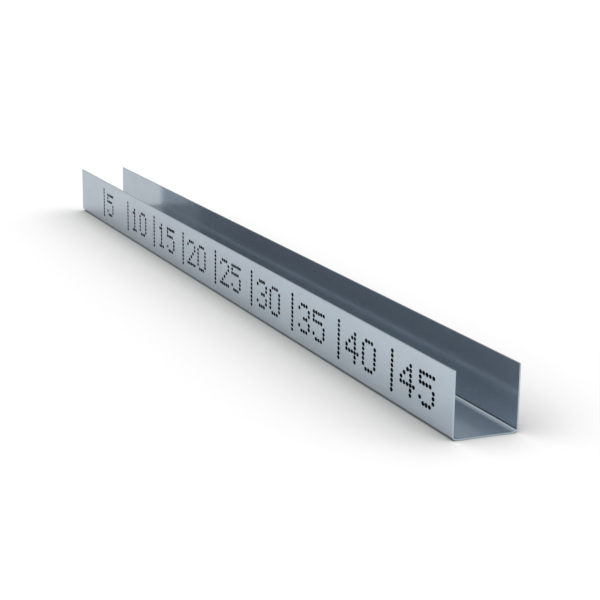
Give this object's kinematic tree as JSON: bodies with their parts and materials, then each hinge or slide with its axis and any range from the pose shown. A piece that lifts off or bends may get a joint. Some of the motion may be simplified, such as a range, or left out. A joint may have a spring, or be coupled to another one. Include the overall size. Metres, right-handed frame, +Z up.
{
  "type": "drywall track",
  "caption": "Straight galvanised steel U-channel for drywall framing: its flat web is fixed to a ceiling, wall or floor, and its upright flanges take the ends of profiles or studs.",
  "frame": {"origin": "middle of the web's underside, halfway along the length", "axes": "+X along the track, +Y across the web from the flange with the printed band to the plain one, +Z up from the web towards the flange edges"},
  "size_m": [0.5, 0.028, 0.027],
  "materials": {
    "galvanised_steel": "hot-dip galvanised, rolled, semi-gloss"
  },
  "bodies": {
    "root": {"track": "galvanised_steel"}
  },
  "joints": []
}
